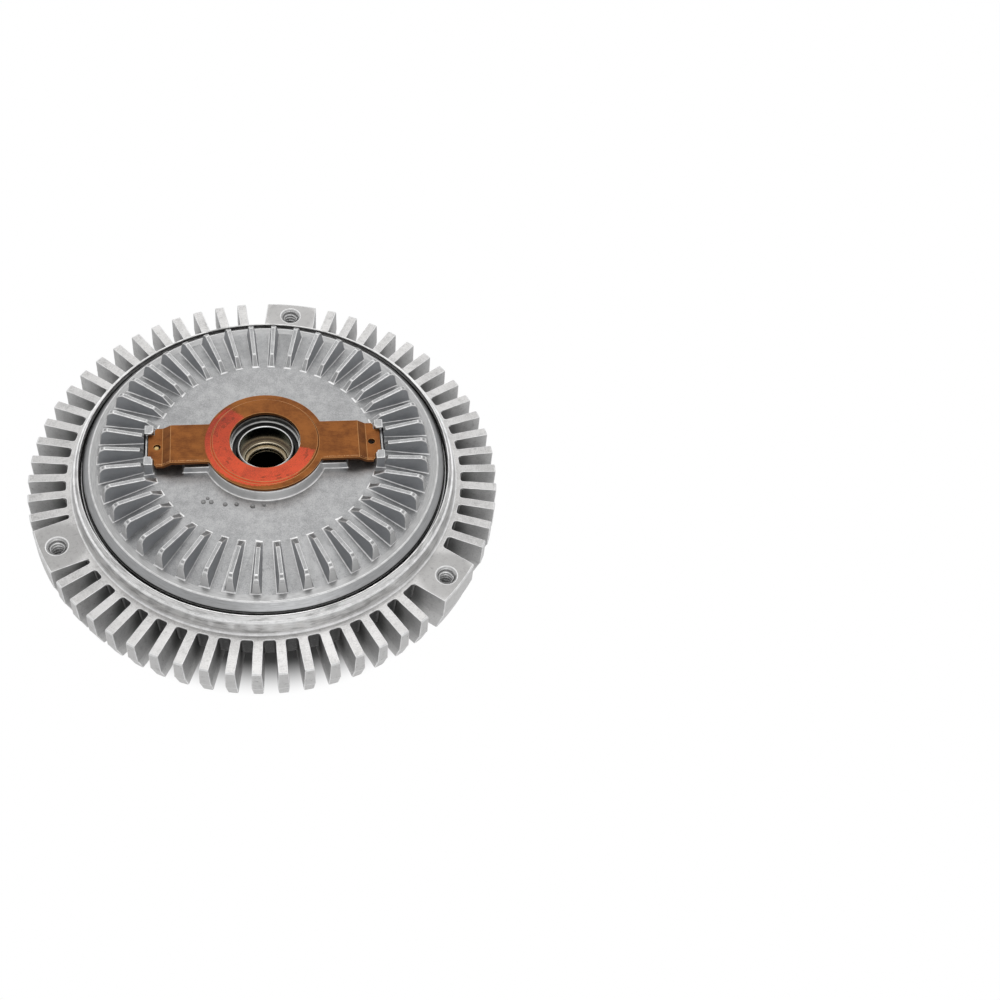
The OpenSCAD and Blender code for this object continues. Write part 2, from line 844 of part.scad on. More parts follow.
housing();
cover();
cover_o_ring();
input_shaft();
rotor();
rotor_circlip();
bearing_outer_ring();
bearing_inner_ring();
bearing_balls();
bearing_cage();
bearing_rear_seal();
bearing_front_seal();
separator_plate();
plate_screws();
valve_lever();
valve_rivet();
pump_wiper();
control_pin();
control_pin_o_ring();
bimetal_strip();
seal_case();
shaft_seal();
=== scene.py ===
import math

import bpy
from mathutils import Matrix, Vector


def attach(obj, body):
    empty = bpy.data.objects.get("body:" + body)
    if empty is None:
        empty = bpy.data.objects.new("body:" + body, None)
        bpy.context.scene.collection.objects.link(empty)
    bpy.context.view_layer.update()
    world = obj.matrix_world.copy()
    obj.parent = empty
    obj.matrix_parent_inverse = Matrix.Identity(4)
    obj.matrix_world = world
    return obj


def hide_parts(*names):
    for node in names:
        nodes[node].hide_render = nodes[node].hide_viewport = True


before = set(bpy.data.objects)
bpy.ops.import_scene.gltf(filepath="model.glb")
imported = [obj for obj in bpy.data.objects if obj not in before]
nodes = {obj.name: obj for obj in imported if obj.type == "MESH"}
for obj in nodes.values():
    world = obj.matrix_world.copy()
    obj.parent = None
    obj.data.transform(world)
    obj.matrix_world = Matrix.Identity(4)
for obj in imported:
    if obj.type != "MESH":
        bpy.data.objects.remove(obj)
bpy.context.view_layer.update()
scene = bpy.context.scene
scene.view_settings.view_transform = "Standard"
mm = 0.001
print("frame loaded,", len(nodes), "nodes")


# one socket of a shader tree, with arithmetic
class Wire:
    def __init__(self, tree, socket=None):
        self.tree = tree
        self.socket = socket

    def add(self, kind, settings=None, sockets=None, out=0):
        node = self.tree.nodes.new("ShaderNode" + kind)
        for key, value in (settings or {}).items():
            setattr(node, key, value)
        for key, value in (sockets or {}).items():
            if isinstance(value, Wire):
                self.tree.links.new(value.socket, node.inputs[key])
            else:
                node.inputs[key].default_value = value
        return Wire(self.tree, node.outputs[out])

    def calc(self, operation, *values):
        return self.add("Math", {"operation": operation}, dict(enumerate(values)))

    def __add__(self, other):
        return self.calc("ADD", self, other)

    def __radd__(self, other):
        return self.calc("ADD", other, self)

    def __sub__(self, other):
        return self.calc("SUBTRACT", self, other)

    def __rsub__(self, other):
        return self.calc("SUBTRACT", other, self)

    def __mul__(self, other):
        return self.calc("MULTIPLY", self, other)

    def __truediv__(self, other):
        return self.calc("DIVIDE", self, other)

    def __pow__(self, other):
        return self.calc("POWER", self, other)

    # 0 below low, 1 above high, eased between; low may be above high
    def step(self, low, high):
        return self.add(
            "MapRange",
            {"interpolation_type": "SMOOTHSTEP"},
            {"Value": self, "From Min": low, "From Max": high},
        )

    def cap(self):
        return self.calc("MINIMUM", self, 1.0)

    def between(self, low, high, soft):
        return self.step(low - soft, low + soft) * self.step(high + soft, high - soft)

    def noise(self, scale, detail, rough):
        return self.add(
            "TexNoise",
            {"normalize": True},
            {"Vector": self, "Scale": scale, "Detail": detail, "Roughness": rough},
        )

    def mix(self, first, second):
        return self.add(
            "MixRGB", {"blend_type": "MIX"}, {"Fac": self, "Color1": first, "Color2": second}
        )


socketNames = {"color": "Base Color", "rough": "Roughness", "metal": "Metallic"}


# a new material with its places in millimetres: position, radius, height and angle
class Finish:
    def __init__(self, name, metallic, specular=0.5):
        self.material = bpy.data.materials.new(name)
        self.material.use_nodes = True
        self.tree = self.material.node_tree
        self.shader = self.tree.nodes["Principled BSDF"]
        self.shader.inputs["Metallic"].default_value = metallic
        self.shader.inputs["Specular IOR Level"].default_value = specular
        start = Wire(self.tree)
        coords = start.add("TexCoord", out="Object")
        self.place = start.add(
            "VectorMath", {"operation": "SCALE"}, {"Vector": coords, "Scale": 1 / mm}
        )
        split = {"Vector": self.place}
        self.x = start.add("SeparateXYZ", {}, split, "X")
        self.y = start.add("SeparateXYZ", {}, split, "Y")
        self.z = start.add("SeparateXYZ", {}, split, "Z")
        self.radius = (self.x * self.x + self.y * self.y) ** 0.5
        self.turn = self.y.calc("ARCTAN2", self.y, self.x)
        facing = {"Vector": start.add("NewGeometry", out="True Normal")}
        self.up = start.add("SeparateXYZ", {}, facing, "Z")
        across = self.x * start.add("SeparateXYZ", {}, facing, "X")
        self.outward = (across + self.y * start.add("SeparateXYZ", {}, facing, "Y")) / self.radius

    # a place that is stretched round the axis, for turned and spun metal
    def lathe(self, alongTurn):
        return self.x.add(
            "CombineXYZ", {}, {"X": self.radius, "Y": self.turn * alongTurn, "Z": self.z}
        )

    def set(self, **values):
        for key, value in values.items():
            socket = self.shader.inputs[socketNames[key]]
            if isinstance(value, Wire):
                self.tree.links.new(value.socket, socket)
            else:
                socket.default_value = value

    def bump(self, height, distance, strength):
        normal = self.x.add(
            "Bump", {}, {"Height": height, "Distance": distance * mm, "Strength": strength}
        )
        self.tree.links.new(normal.socket, self.shader.inputs["Normal"])


def gray(value, warm=0.0):
    return (value * (1 + warm), value, value * (1 - warm), 1.0)


# cast aluminium: colours, then the zones of the housing by radius and height in millimetres
castSettings = {
    "face": gray(0.54, 0.012), "faceWorn": gray(0.38, 0.012), "lug": gray(0.31, 0.014),
    "side": gray(0.66, 0.006), "sideDark": gray(0.42), "shade": gray(0.05),
    "end": gray(0.58, 0.006), "spun": gray(0.82, 0.004), "spunDark": gray(0.34, 0.008),
    "edgeShade": gray(0.12, 0.02), "mark": gray(0.22, 0.015), "gap": gray(0.012), "rough": 0.47,
    "frontLevel": (29.7, 30.4), "lipReach": (73.6, 78.2), "lipLevel": (30.2, 30.6),
    "grooveReach": (74.0, 75.9), "lipEdgeReach": (73.6, 74.8), "lipEdgeLevel": (36.0, 37.0),
    "gapReach": (68.0, 74.4), "gapLevel": (32.0, 36.2),
    "hubReach": (22.0, 32.4), "hubLevel": (9.0, 8.6),
    "lugRearReach": (78.0, 79.0), "lugRearLevel": (8.4, 8.1), "parting": 18.5,
    "slotReach": (77.5, 84.5), "slotLevel": (10.0, 20.0), "slotTop": (29.8, 29.4),
    "slotEdgeReach": (77.5, 83.0), "slotEdgeLevel": (13.0, 29.2), "endReach": (88.0, 90.0),
    "lugTurns": (82.0, 202.0, 322.0), "lugReach": 88.0, "lugZone": (13.0, 9.0),
}


# the axis of a lug hole
def lugSpot(turn):
    reach, turn = castSettings["lugReach"], math.radians(turn)
    return reach * math.cos(turn), reach * math.sin(turn)


# how far a place is from the axis of the nearest lug hole
def fromLugHole(finish):
    away = None
    for turn in castSettings["lugTurns"]:
        left, down = lugSpot(turn)
        across, along = finish.x - left, finish.y - down
        gap = (across * across + along * along) ** 0.5
        away = gap.calc("MINIMUM", away, gap) if away else gap
    return away


def castSkin():
    finish = Finish("castSkin", 0.9)
    broad = finish.place.noise(0.07, 5.0, 0.6)
    grain = finish.place.noise(1.5, 3.0, 0.6)
    fine = finish.place.noise(5.0, 2.0, 0.5)
    pits = finish.place.noise(0.9, 1.0, 0.4).step(0.735, 0.775)
    streaks = finish.lathe(6.0).noise(2.4, 4.0, 0.6)
    smears = finish.lathe(14.0).noise(0.5, 5.0, 0.7).step(0.46, 0.66)
    marks = finish.place.noise(0.55, 6.0, 0.72).step(0.5, 0.68)
    front = finish.z.between(*castSettings["frontLevel"], 0.1) * finish.up.step(0.8, 0.95)
    lip = finish.radius.between(*castSettings["lipReach"], 0.1)
    lip = lip * finish.z.step(*castSettings["lipLevel"])
    hub = finish.radius.between(*castSettings["hubReach"], 0.1)
    hub = hub * finish.z.step(*castSettings["hubLevel"])
    lugRear = finish.radius.step(*castSettings["lugRearReach"])
    lugRear = lugRear * finish.z.step(*castSettings["lugRearLevel"])
    turned = (lip + hub + lugRear).cap()
    tone = (broad * 0.55 + grain * 0.45).step(0.30, 0.66)
    below = finish.z.step(castSettings["parting"] + 0.15, castSettings["parting"] - 0.15)
    side = (tone * 0.7 + below * 0.3).mix(castSettings["sideDark"], castSettings["side"])
    shaded = finish.radius.between(*castSettings["slotReach"], 3.0)  # painted shade at the inner ends of the slots
    shaded = shaded * finish.z.step(*castSettings["slotLevel"])
    shaded = shaded * finish.z.step(*castSettings["slotTop"])
    rimWall = shaded * finish.outward.step(0.5, 0.8)
    side = (shaded * 0.6 + rimWall * 0.4).cap().mix(side, castSettings["shade"])
    # fin outer ends that face outward get a flat tone of their own, set by facing: painted light
    tip = finish.outward.step(0.6, 0.9) * finish.radius.step(*castSettings["endReach"])
    side = tip.mix(side, castSettings["end"])
    skin = (pits * 0.7 + marks * 0.35).cap().mix(side, castSettings["mark"])
    face = (streaks * 0.5 + tone * 0.5).step(0.2, 0.75).mix(
        castSettings["faceWorn"], castSettings["face"])
    nearHole = fromLugHole(finish).step(*castSettings["lugZone"])
    face = (nearHole * 0.8).mix(face, castSettings["lug"])
    face = (marks * 0.45 + pits * 0.4).mix(face, castSettings["mark"])
    groove = finish.radius.between(*castSettings["grooveReach"], 0.2) * lip
    spun = (streaks.step(0.25, 0.75) * 0.35 + groove * 0.2 + smears * 0.6).cap().mix(
        castSettings["spun"], castSettings["spunDark"])
    gap = finish.radius.between(*castSettings["gapReach"], 0.1)  # painted shadow in the gap round the cover
    gap = gap * finish.z.between(*castSettings["gapLevel"], 0.3)
    finish.set(color=gap.mix(turned.mix(front.mix(skin, face), spun), castSettings["gap"]))
    smooth = (turned + front).cap()
    rough = castSettings["rough"] + (grain - 0.5) * 0.22
    finish.set(rough=rough - smooth * (0.2 - streaks * 0.12), metal=0.5 + smooth * 0.4)
    sand = (grain * 0.55 + fine * 0.35 - pits * 0.8) * (1 - smooth) + streaks * smooth * 0.5
    finish.bump(sand, 0.11, 0.75)
    return finish.material


# edges lighter than the faces, from wear and from painted highlight; painted shade on edges that
# lie deep, in the slots and at the lip's inner edge
def castEdge(name, level, roughness):
    finish = Finish(name, 0.95)
    wear = finish.place.noise(0.35, 4.0, 0.6)
    grain = finish.place.noise(2.2, 2.0, 0.5)
    # painted shade at the lip's inner edge and on the edges in the slots
    lipEdge = finish.radius.between(*castSettings["lipEdgeReach"], 0.15)
    lipEdge = lipEdge * finish.z.step(*castSettings["lipEdgeLevel"])
    bright = wear.step(0.3, 0.65).mix(gray(level * 0.78), gray(level))
    slotEdge = finish.radius.between(*castSettings["slotEdgeReach"], 0.5)
    slotEdge = slotEdge * finish.z.between(*castSettings["slotEdgeLevel"], 0.3)
    finish.set(color=(lipEdge * 0.9 + slotEdge).cap().mix(bright, castSettings["edgeShade"]))
    finish.set(rough=roughness + (grain - 0.5) * 0.2)
    finish.bump(grain, 0.04, 0.5)
    return finish.material


coverSettings = {
    "light": (0.385, 0.386, 0.388, 1.0), "dark": (0.225, 0.227, 0.230, 1.0),
    "stain": (0.15, 0.152, 0.156, 1.0), "wall": (0.37, 0.383, 0.405, 1.0),
    "bevel": (0.33, 0.334, 0.341, 1.0), "bevelDark": gray(0.25), "border": gray(0.37),
    "borderDark": gray(0.28), "boss": gray(0.62), "finEnd": gray(0.58), "rough": 0.38,
    "borderReach": (66.9, 69.9), "bevelReach": (69.9, 73.2), "finReach": (31.0, 66.8),
    "bossReach": (32.0, 30.0), "gapReach": (72.25, 72.55),
}


def coverSkin():
    finish = Finish("coverSkin", 0.95)
    cloud = finish.place.noise(0.045, 6.0, 0.62)
    mottle = finish.place.noise(0.35, 5.0, 0.6)
    grain = finish.place.noise(2.6, 2.0, 0.5)
    crease = finish.place.noise(0.055, 8.0, 0.7)
    creases = (crease - 0.5).calc("ABSOLUTE", crease - 0.5).step(0.012, 0.0)
    border = finish.radius.between(*coverSettings["borderReach"], 0.1)
    bevel = finish.radius.between(*coverSettings["bevelReach"], 0.1)
    rings = finish.lathe(5.0).noise(3.0, 3.0, 0.6)
    tone = (cloud * 0.3 + mottle * 0.35 + grain * 0.35).step(0.34, 0.64)
    skin = tone.mix(coverSettings["dark"], coverSettings["light"])
    skin = (creases * mottle.step(0.42, 0.6) * 0.3).mix(skin, coverSettings["stain"])
    # fin faces that do not face up get a lighter tone, and their flanks a darker one: painted
    # light and shade by facing
    steep = finish.up.step(0.75, 0.35)
    steep = steep * finish.radius.between(*coverSettings["finReach"], 0.1)
    wall = steep * (finish.outward * finish.outward).step(0.5, 0.2)
    boss = finish.up.step(0.9, 0.6) * finish.radius.step(*coverSettings["bossReach"])
    skin = boss.mix(skin, coverSettings["boss"])
    skin = steep.mix(skin, coverSettings["finEnd"])
    skin = (wall * (0.65 + tone * 0.35)).mix(skin, coverSettings["wall"])
    spun = rings.step(0.25, 0.75).mix(coverSettings["borderDark"], coverSettings["border"])
    skin = border.mix(skin, spun)
    spun = rings.step(0.2, 0.7).mix(coverSettings["bevelDark"], coverSettings["bevel"])
    skin = bevel.mix(skin, spun)
    # painted shadow at the cover's outer edge, beside the gap to the lip
    gap = finish.radius.step(*coverSettings["gapReach"])
    skin = gap.mix(skin, castSettings["gap"])
    finish.set(color=skin, metal=0.95 - steep * 0.5)
    turned = (border + bevel).cap()
    rough = coverSettings["rough"] + (mottle - 0.5) * 0.2
    finish.set(rough=rough + creases * 0.08 - turned * 0.06)
    relief = mottle * 0.6 + grain * 0.25 - creases * 0.15 + rings * turned * 0.3
    finish.bump(relief, 0.06, 0.5)
    return finish.material


stripSettings = {
    "bronze": (0.27, 0.097, 0.024, 1.0), "patina": (0.12, 0.038, 0.010, 1.0),
    "bright": (0.52, 0.30, 0.14, 1.0), "paint": (0.98, 0.125, 0.046, 1.0),
    "paintWorn": (0.40, 0.045, 0.018, 1.0), "paintTurn": 236.0, "paintHalf": 108.0,
    "paintInner": 14.2, "paintOuter": 22.0, "paintShift": (-1.7, -0.3),
    "paintLevel": (50.2, 50.4), "scuffReach": (16.0, 20.5), "sheenReach": (4.0, -14.0),
    "armEdge": 9.5, "glintInset": 0.9, "glintHalf": 0.22, "armReach": (24.0, 25.0),
    "brushScale": (0.25, 3.0, 3.0),
}


def bimetalSkin():
    finish = Finish("bimetalSkin", 0.75, 0.25)
    brush = finish.x.add(
        "VectorMath", {"operation": "MULTIPLY"},
        {0: finish.place, 1: stripSettings["brushScale"]},
    ).noise(1.6, 4.0, 0.6)
    cloud = finish.place.noise(0.16, 5.0, 0.6)
    speck = finish.place.noise(2.2, 2.0, 0.5)
    tone = (cloud * 0.6 + brush * 0.25 + speck * 0.15).step(0.34, 0.64)
    metal = tone.mix(stripSettings["patina"], stripSettings["bronze"])
    # a bright broken line along the arm's edge: painted highlight
    half = stripSettings["glintHalf"]
    edgeGlint = finish.y + stripSettings["armEdge"] - stripSettings["glintInset"]
    edgeGlint = edgeGlint.between(-half, half, 0.12) * finish.radius.step(*stripSettings["armReach"])
    metal = (edgeGlint * speck.step(0.42, 0.56) * 0.7).mix(metal, stripSettings["bright"])
    aim = math.radians(stripSettings["paintTurn"])
    facing = (finish.x * math.cos(aim) + finish.y * math.sin(aim)) / finish.radius
    limit = math.cos(math.radians(stripSettings["paintHalf"]))
    ragged = (speck - 0.5) * 0.12 + (cloud - 0.5) * 0.25
    sector = (facing + ragged).step(limit - 0.03, limit + 0.03)
    left, down = stripSettings["paintShift"]
    aside = ((finish.x - left) ** 2.0 + (finish.y - down) ** 2.0) ** 0.5
    outer = (aside + (speck - 0.5) * 1.6 + (cloud - 0.5) * 2.0).step(
        stripSettings["paintOuter"] + 0.2, stripSettings["paintOuter"] - 0.2)
    top = finish.z.step(*stripSettings["paintLevel"])
    top = top * finish.radius.step(14.0, stripSettings["paintInner"])
    paint = sector * outer * top * (speck + cloud * 0.5).step(0.42, 0.52)
    scuff = finish.lathe(9.0).noise(0.55, 5.0, 0.7).step(0.54, 0.62)
    scuff = scuff * finish.radius.between(*stripSettings["scuffReach"], 0.8)
    # the paint is lighter in random patches, which is its own wear, and lighter towards negative
    # y, which is painted highlight
    freshAndSheen = (cloud * 0.6 + speck * 0.4).step(0.36, 0.6) * 0.55
    freshAndSheen = freshAndSheen + finish.y.step(*stripSettings["sheenReach"]) * 0.45
    color = freshAndSheen.mix(stripSettings["paintWorn"], stripSettings["paint"])
    color = (scuff * 0.55).mix(color, stripSettings["patina"])
    finish.set(color=paint.mix(metal, color))
    finish.set(metal=(1 - paint) * 0.75, rough=0.42 + (cloud - 0.5) * 0.2 + paint * 0.04)
    finish.bump(brush * 0.4 + speck * 0.3 + paint * 0.8, 0.05, 0.45)
    return finish.material


def turnedSteel(name, color, roughness, stretch=4.0, depth=0.03):
    finish = Finish(name, 1.0)
    rings = finish.lathe(stretch).noise(2.2, 4.0, 0.6)
    cloud = finish.place.noise(0.2, 4.0, 0.6)
    tone = (rings * 0.5 + cloud * 0.5).step(0.3, 0.68)
    deep = tuple(part * 0.72 for part in color)
    finish.set(color=tone.mix((*deep, 1.0), (*color, 1.0)))
    finish.set(rough=roughness + (rings - 0.5) * 0.16)
    finish.bump(rings, depth, 0.5)
    return finish.material


shaftSettings = {
    "steel": gray(0.60, -0.01), "worn": gray(0.42, -0.01), "rim": gray(0.74),
    "tubeTop": (0.085, 0.115, 0.115, 1.0), "tubeLow": (0.24, 0.205, 0.165, 1.0),
    "nickel": (0.66, 0.58, 0.44, 1.0), "deep": gray(0.006),
    "rimLevel": (46.5, 46.7), "rimReach": (9.8, 10.2), "tubeReach": (10.5, 10.35),
    "tubeLevel": (30.0, 30.5), "tubeFade": (39.0, 44.0), "shelfReach": (9.9, 9.6),
    "boreReach": (7.25, 7.0), "boreLevel": (0.5, 38.0),
}


def shaftSkin():
    finish = Finish("shaftSkin", 1.0)
    rings = finish.lathe(4.0).noise(2.2, 4.0, 0.6)
    cloud = finish.place.noise(0.25, 4.0, 0.6)
    tone = (rings * 0.5 + cloud * 0.5).step(0.3, 0.68)
    skin = tone.mix(shaftSettings["worn"], shaftSettings["steel"])
    rim = finish.z.step(*shaftSettings["rimLevel"])
    rim = rim * finish.radius.step(*shaftSettings["rimReach"])
    skin = rim.mix(skin, shaftSettings["rim"])
    tube = finish.radius.step(*shaftSettings["tubeReach"])
    tube = tube * finish.z.step(*shaftSettings["tubeLevel"])
    wall = (finish.z + (cloud - 0.5) * 3.0).step(*shaftSettings["tubeFade"]).mix(
        shaftSettings["tubeLow"], shaftSettings["tubeTop"])
    skin = tube.mix(skin, wall)
    shelf = finish.radius.step(*shaftSettings["shelfReach"]) * tube
    skin = (shelf * (0.6 + tone * 0.4)).mix(skin, shaftSettings["nickel"])
    # the bore painted near black: painted shade
    bore = finish.radius.step(*shaftSettings["boreReach"])
    bore = bore * finish.z.between(*shaftSettings["boreLevel"], 0.3)
    finish.set(color=bore.mix(skin, shaftSettings["deep"]))
    finish.set(rough=0.22 + (rings - 0.5) * 0.16 + bore * 0.5)
    finish.bump(rings, 0.03, 0.5)
    return finish.material


def mouldedRubber(name, color, roughness):
    finish = Finish(name, 0.0, 0.4)
    cloud = finish.place.noise(0.3, 4.0, 0.6)
    grain = finish.place.noise(4.0, 2.0, 0.5)
    deep = tuple(part * 0.7 for part in color)
    finish.set(color=cloud.step(0.3, 0.7).mix((*deep, 1.0), (*color, 1.0)))
    finish.set(rough=roughness + (grain - 0.5) * 0.15)
    finish.bump(grain, 0.03, 0.4)
    return finish.material


def deselectAll():
    bpy.ops.object.select_all(action="DESELECT")


def makeActive(piece):
    deselectAll()
    piece.select_set(True)
    bpy.context.view_layer.objects.active = piece


copySettings = {"merge": 0.002, "flat": 0.6, "smooth": 40.0}


# a merged copy of a node, its coplanar triangles joined again
def copyNode(nodeName, pieceName):
    mesh = nodes[nodeName].data.copy()
    mesh.name = pieceName
    mesh.materials.clear()
    piece = bpy.data.objects.new(pieceName, mesh)
    scene.collection.objects.link(piece)
    makeActive(piece)
    bpy.ops.object.mode_set(mode="EDIT")
    bpy.ops.mesh.select_all(action="SELECT")
    bpy.ops.mesh.remove_doubles(threshold=copySettings["merge"] * mm)
    bpy.ops.mesh.customdata_custom_splitnormals_clear()
    bpy.ops.mesh.dissolve_limited(angle_limit=math.radians(copySettings["flat"]))
    bpy.ops.object.mode_set(mode="OBJECT")
    return piece


def roundEdges(piece, settings):
    makeActive(piece)
    bevel = piece.modifiers.new("rounded", "BEVEL")
    bevel.width = settings["edge"] * mm
    bevel.segments = settings["segments"]
    bevel.limit_method = "ANGLE"
    bevel.angle_limit = math.radians(settings["sharp"])
    bevel.use_clamp_overlap = False
    bevel.material = settings["edgeSlot"]
    bpy.ops.object.modifier_apply(modifier=bevel.name)
    bpy.ops.object.shade_smooth_by_angle(angle=math.radians(copySettings["smooth"]))
    flat = piece.modifiers.new("flat", "WEIGHTED_NORMAL")
    flat.keep_sharp = True
    bpy.ops.object.modifier_apply(modifier=flat.name)


def settle(piece, body, slot, *replaced):
    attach(piece, body)
    if replaced:
        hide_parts(*replaced)


# the finned housing
housingSettings = {
    "edge": 0.3, "segments": 2, "sharp": 28.0, "edgeSlot": 1,
    "tapRadius": 2.5, "threadRadius": 3.3, "near": 0.05,
}
castHousing = copyNode("housing", "castHousing")
for vertex in castHousing.data.vertices:  # the lug holes open out to the thread's root
    for turn in castSettings["lugTurns"]:
        axis = Vector((*lugSpot(turn), 0)) * mm
        away = Vector((vertex.co.x, vertex.co.y, 0)) - axis
        if abs(away.length - housingSettings["tapRadius"] * mm) < housingSettings["near"] * mm:
            away *= housingSettings["threadRadius"] / housingSettings["tapRadius"]
            vertex.co.x, vertex.co.y = axis.x + away.x, axis.y + away.y
slotShape = {
    "radius": 80.0, "front": 30.0, "round": 1.1, "segments": 3, "height": 4.0, "turn": 0.8,
    "lean": 0.6, "atRim": 0.2, "atFront": 0.05,
}


def selectSlotCorners(piece):
    mesh = piece.data
    beside = {}
    for face in mesh.polygons:
        for key in face.edge_keys:
            beside.setdefault(key, []).append(face.normal)
    makeActive(piece)
    bpy.ops.object.mode_set(mode="EDIT")
    bpy.ops.mesh.select_mode(type="EDGE")
    bpy.ops.mesh.select_all(action="DESELECT")
    bpy.ops.object.mode_set(mode="OBJECT")
    for edge in mesh.edges:
        first, second = (mesh.vertices[number].co for number in edge.vertices)
        upright = abs(first.z - second.z) > slotShape["height"] * mm
        upright = upright and (first - second).xy.length < slotShape["lean"] * mm
        atRim = all(
            abs(corner.xy.length - slotShape["radius"] * mm) < slotShape["atRim"] * mm
            for corner in (first, second)
        )
        normals = beside[edge.key]
        edge.select = upright and atRim and normals[0].angle(normals[1]) > slotShape["turn"]
    return sum(edge.select for edge in mesh.edges)


print("slot corners", selectSlotCorners(castHousing))
bpy.ops.object.mode_set(mode="EDIT")
bpy.ops.mesh.bevel(
    offset=slotShape["round"] * mm, segments=slotShape["segments"],
    affect="EDGES", clamp_overlap=False,
)
folded = 1
while folded:  # slivers that the rounding turned over
    bpy.ops.mesh.select_mode(type="FACE")
    bpy.ops.mesh.select_all(action="DESELECT")
    bpy.ops.object.mode_set(mode="OBJECT")
    for face in castHousing.data.polygons:
        atFront = abs(face.center.z - slotShape["front"] * mm) < slotShape["atFront"] * mm
        face.select = atFront and face.normal.z < 0
    folded = sum(face.select for face in castHousing.data.polygons)
    bpy.ops.object.mode_set(mode="EDIT")
    if folded:
        bpy.ops.mesh.merge(type="COLLAPSE")
bpy.ops.object.mode_set(mode="OBJECT")
castHousing.data.materials.append(castSkin())
castHousing.data.materials.append(castEdge("castEdge", 0.74, 0.40))
roundEdges(castHousing, housingSettings)
settle(castHousing, "housing", "cast_housing", "housing")
print("housing", len(castHousing.data.polygons), "faces")

# the finned cover
coverShape = {
    "edge": 0.4, "segments": 2, "sharp": 28.0, "edgeSlot": 1, "disc": 44.0, "border": 67.0,
    "discLevel": 44.5, "borderLevel": 38.7, "rise": 1.9, "taller": 1.2,
    "out": 1.2, "outFrom": 58.0, "outTo": 65.0, "outEnd": 66.5, "clear": (47.9, 10.5),
    "under": -0.2,
}


def share(value, low, high):
    return min(max((value - low) / (high - low), 0.0), 1.0)


def domeLevel(radius):
    drop = coverShape["discLevel"] - coverShape["borderLevel"]
    return coverShape["discLevel"] - drop * share(radius, coverShape["disc"], coverShape["border"])


castCover = copyNode("cover", "castCover")
for vertex in castCover.data.vertices:  # the border stands proud of the lip, with tall fins
    spot = vertex.co / mm
    radius = spot.xy.length
    above = spot.z - domeLevel(radius)
    if radius < coverShape["disc"] or above < coverShape["under"]:
        continue
    held = abs(spot.x) < coverShape["clear"][0] and abs(spot.y) < coverShape["clear"][1]
    moved = radius
    if radius < coverShape["outEnd"]:
        moved += coverShape["out"] * share(radius, coverShape["outFrom"], coverShape["outTo"])
    rise = coverShape["rise"] * share(moved, coverShape["disc"], coverShape["border"])
    level = domeLevel(moved) + rise + above * (1 if held else coverShape["taller"])
    vertex.co = Vector((spot.x * moved / radius, spot.y * moved / radius, level)) * mm
castCover.data.materials.append(coverSkin())
castCover.data.materials.append(castEdge("coverEdge", 0.66, 0.34))
roundEdges(castCover, coverShape)
settle(castCover, "housing", "cast_cover", "cover")
print("cover", len(castCover.data.polygons), "faces")

# the bimetal strip
stripShape = {"edge": 0.12, "segments": 2, "sharp": 28.0, "edgeSlot": 1}
bimetalStrip = copyNode("bimetal_strip", "bimetalStrip")
bimetalStrip.data.materials.append(bimetalSkin())
bimetalStrip.data.materials.append(turnedSteel("stripEdge", (0.5, 0.25, 0.1), 0.32))
roundEdges(bimetalStrip, stripShape)
settle(bimetalStrip, "bimetal", "bimetal", "bimetal_strip")
print("strip", len(bimetalStrip.data.polygons), "faces")

# the plug in the left hole of the strip
plugShape = {
    "radius": 1.03, "sides": 28, "place": (-42.75, -0.3, 47.7), "depth": 1.1, "inset": 0.35,
    "raised": 0.18, "edge": 0.08, "segments": 2, "sharp": 20.0, "edgeSlot": 0,
}


# a disc whose top is inset, then raised or sunk
def insetDisc(name, radius, place, shape):
    deselectAll()
    bpy.ops.mesh.primitive_cylinder_add(
        vertices=shape["sides"], radius=radius * mm, depth=shape["depth"] * mm,
        location=[part * mm for part in place],
    )
    disc = bpy.context.object
    disc.name = disc.data.name = name
    bpy.ops.object.transform_apply(location=True, rotation=True, scale=True)
    for face in disc.data.polygons:
        face.select = face.normal.z > 0.9
    bpy.ops.object.mode_set(mode="EDIT")
    bpy.ops.mesh.select_mode(type="FACE")
    bpy.ops.mesh.inset(thickness=shape["inset"] * mm)
    bpy.ops.transform.translate(value=(0, 0, shape["raised"] * mm))
    bpy.ops.object.mode_set(mode="OBJECT")
    return disc


stripPlug = insetDisc("stripPlug", plugShape["radius"], plugShape["place"], plugShape)
stripPlug.data.materials.append(turnedSteel("plugBrass", (0.48, 0.34, 0.15), 0.34))
roundEdges(stripPlug, plugShape)
settle(stripPlug, "bimetal", "bimetal")
print("strip plug")

# the threads in the lug holes
threadShape = {
    "root": 3.36, "crest": 2.7, "pitch": 1.75, "rootShare": 0.94, "crestShare": 0.22,
    "bottom": 9.4, "turns": 11, "steps": 28, "smooth": 30.0,
    "dark": gray(0.05), "bright": gray(0.92),
}


